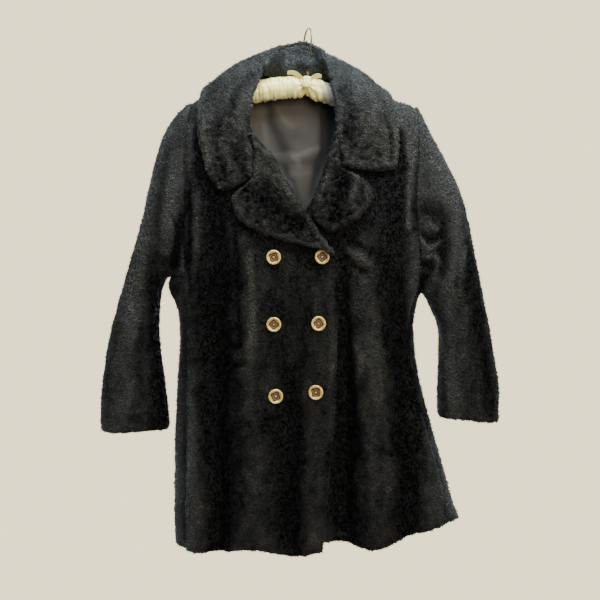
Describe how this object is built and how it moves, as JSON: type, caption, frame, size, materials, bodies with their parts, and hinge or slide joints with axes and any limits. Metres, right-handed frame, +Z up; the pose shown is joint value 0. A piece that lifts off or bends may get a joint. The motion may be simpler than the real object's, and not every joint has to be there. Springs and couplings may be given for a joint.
{
  "type": "faux fur coat on padded hanger",
  "caption": "Black faux fur double-breasted coat with a wide notched collar and lapels, hanging on a satin padded hanger with a wire hook.",
  "frame": {"origin": "inside the top of the hanger's hook, where it rests on what holds it", "axes": "+Z up, +X towards the wearer's left, -Y towards the front of the coat"},
  "size_m": [0.739, 0.1296, 0.9559],
  "materials": {
    "fur": "matte",
    "lining": "satin",
    "button": "gloss",
    "satin": "satin",
    "wire": "polished"
  },
  "bodies": {
    "root": {"back": "fur", "front_right": "fur", "front_left": "fur", "lapel_right": "fur", "lapel_left": "fur", "collar": "fur", "collar_stand": "fur", "sleeve_right": "fur", "sleeve_left": "fur", "back_lining": "lining", "button_1": "button", "button_2": "button", "button_3": "button", "button_4": "button", "button_5": "button", "button_6": "button", "hanger_pad": "satin", "bow_loop_right": "satin", "bow_loop_left": "satin", "bow_knot": "satin", "hanger_hook": "wire"}
  },
  "joints": []
}
